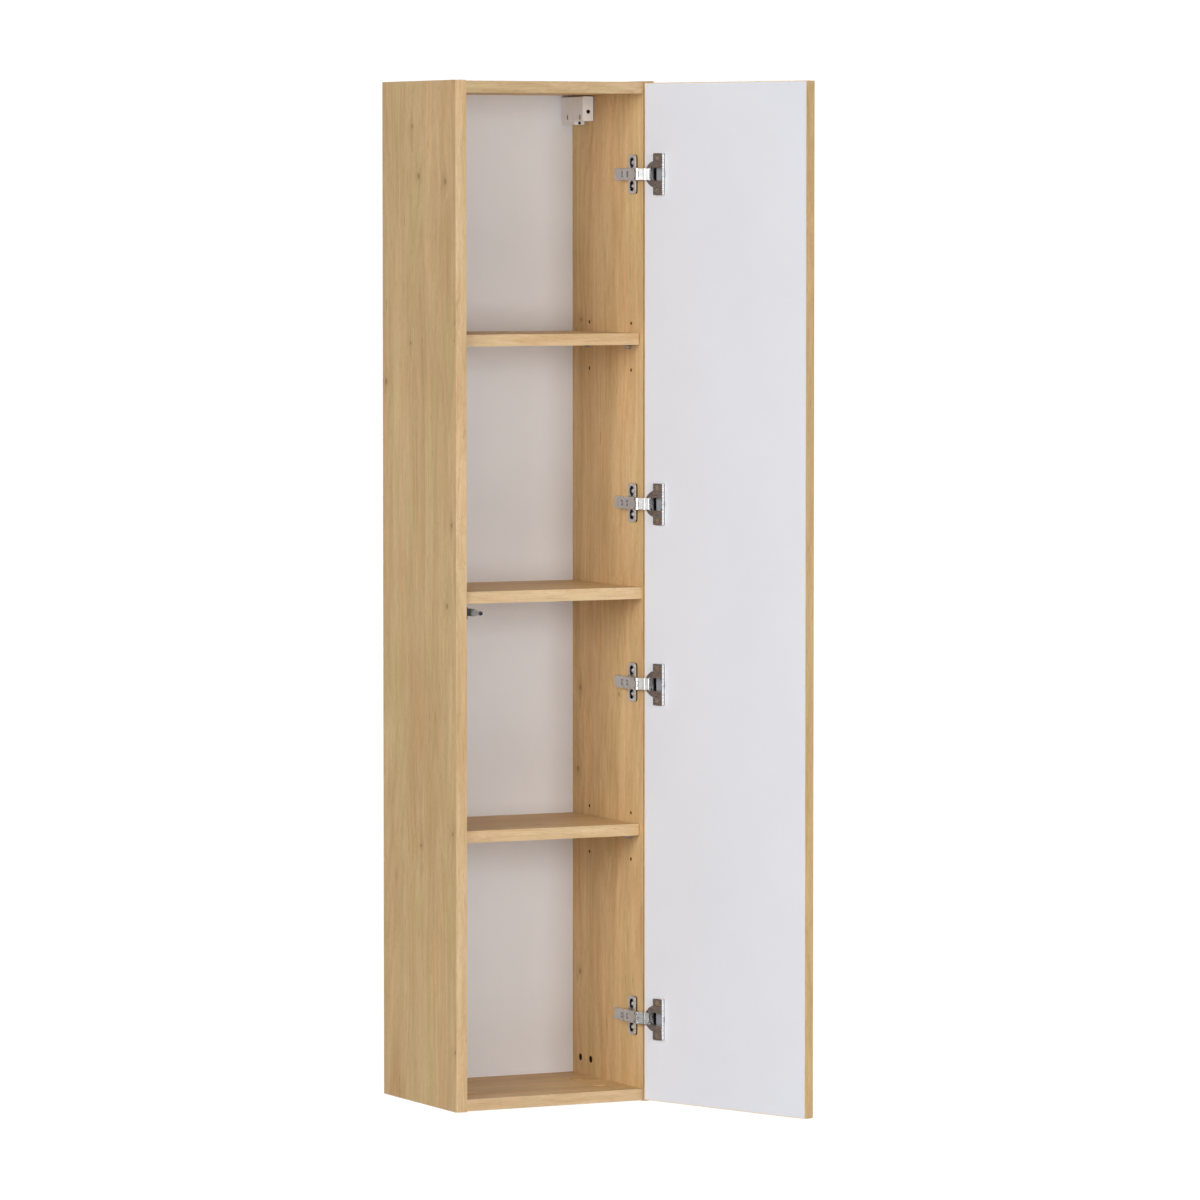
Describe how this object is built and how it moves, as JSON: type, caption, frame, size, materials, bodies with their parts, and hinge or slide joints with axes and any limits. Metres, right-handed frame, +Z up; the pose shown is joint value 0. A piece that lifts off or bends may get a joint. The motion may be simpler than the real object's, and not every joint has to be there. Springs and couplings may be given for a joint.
{
  "type": "wall cabinet",
  "caption": "Tall narrow oak-look wall cabinet with white-backed door standing open on concealed hinges, inner shelves, wall hangers and a push latch.",
  "frame": {"origin": "on the wall plane, halfway across the width, at the height where the hanger hooks bear on the wall rail", "axes": "+X to the right seen from the front, +Y into the wall, +Z up; the open front faces -Y"},
  "size_m": [0.3983, 0.5198, 1.4],
  "materials": {
    "oak_board": "satin oak-look foil on chipboard",
    "oak_trim": "satin oak-look edge band",
    "white_board": "smooth matt white foil",
    "steel": "nickel plated",
    "beech": "plain",
    "white_plastic": "fine satin",
    "grey_plastic": "fine satin",
    "black_plastic": "fine satin",
    "black_rubber": "matt"
  },
  "bodies": {
    "carcass": {"side_panel_left": "oak_board", "side_panel_right": "oak_board", "bottom_panel": "oak_board", "top_panel": "oak_board", "middle_shelf": "oak_board", "upper_shelf": "oak_board", "lower_shelf": "oak_board", "back_panel": "white_board", "side_edge_bands": "oak_trim", "end_edge_bands": "oak_trim", "shelf_edge_bands": "oak_trim", "cam_locks": "steel", "cam_caps": "oak_trim", "cam_bolts": "steel", "dowels": "beech", "upper_shelf_pins": "steel", "lower_shelf_pins": "steel", "hanger_body_left": "white_plastic", "hanger_body_right": "white_plastic", "hanger_adjusters": "steel", "hinge_plates": "steel", "hinge_plate_screws": "steel", "hinge_arms": "steel", "hinge_arm_screws": "steel", "hinge_arm_pins": "steel", "latch_adapter": "black_plastic", "latch_screws": "steel", "latch_housing": "grey_plastic", "latch_spring": "steel"},
    "hinge_link_set": {"hinge_links": "steel"},
    "door": {"door_panel": "white_board", "door_face": "oak_board", "door_edge_bands": "oak_trim", "hinge_cups": "steel", "hinge_cup_pins": "steel", "hinge_cup_inserts": "grey_plastic", "hinge_cup_screws": "steel"},
    "plunger": {"latch_plunger": "grey_plastic", "latch_tip": "black_rubber"},
    "hook_left": {"hanger_hook_left": "steel"},
    "hook_right": {"hanger_hook_right": "steel"}
  },
  "joints": [
    {"name": "link_swing", "type": "hinge", "parent": "carcass", "child": "hinge_link_set", "pos_m": [0.122, -0.238, -0.66], "axis": [0, 0, 1], "range_deg": [0, 31.31]},
    {"name": "door_swing", "type": "hinge", "parent": "hinge_link_set", "child": "door", "pos_m": [0.1376, -0.24737, -0.66], "axis": [0, 0, 1], "range_deg": [-141.02, 0]},
    {"name": "plunger_press", "type": "slide", "parent": "carcass", "child": "plunger", "axis": [0, 1, 0], "range_m": [0, 0.0149], "deforming": ["latch_spring"]},
    {"name": "hook_left_height", "type": "slide", "parent": "carcass", "child": "hook_left", "axis": [0, 0, 1], "range_m": [-0.004, 0.004]},
    {"name": "hook_right_height", "type": "slide", "parent": "carcass", "child": "hook_right", "axis": [0, 0, 1], "range_m": [-0.004, 0.004]}
  ],
  "couplings": [
    {"joint": "link_swing", "follows": "door_swing", "ratio": -0.22186},
    {"joint": "plunger_press", "follows": "door_swing", "m_per_rad": -0.0060133}
  ]
}
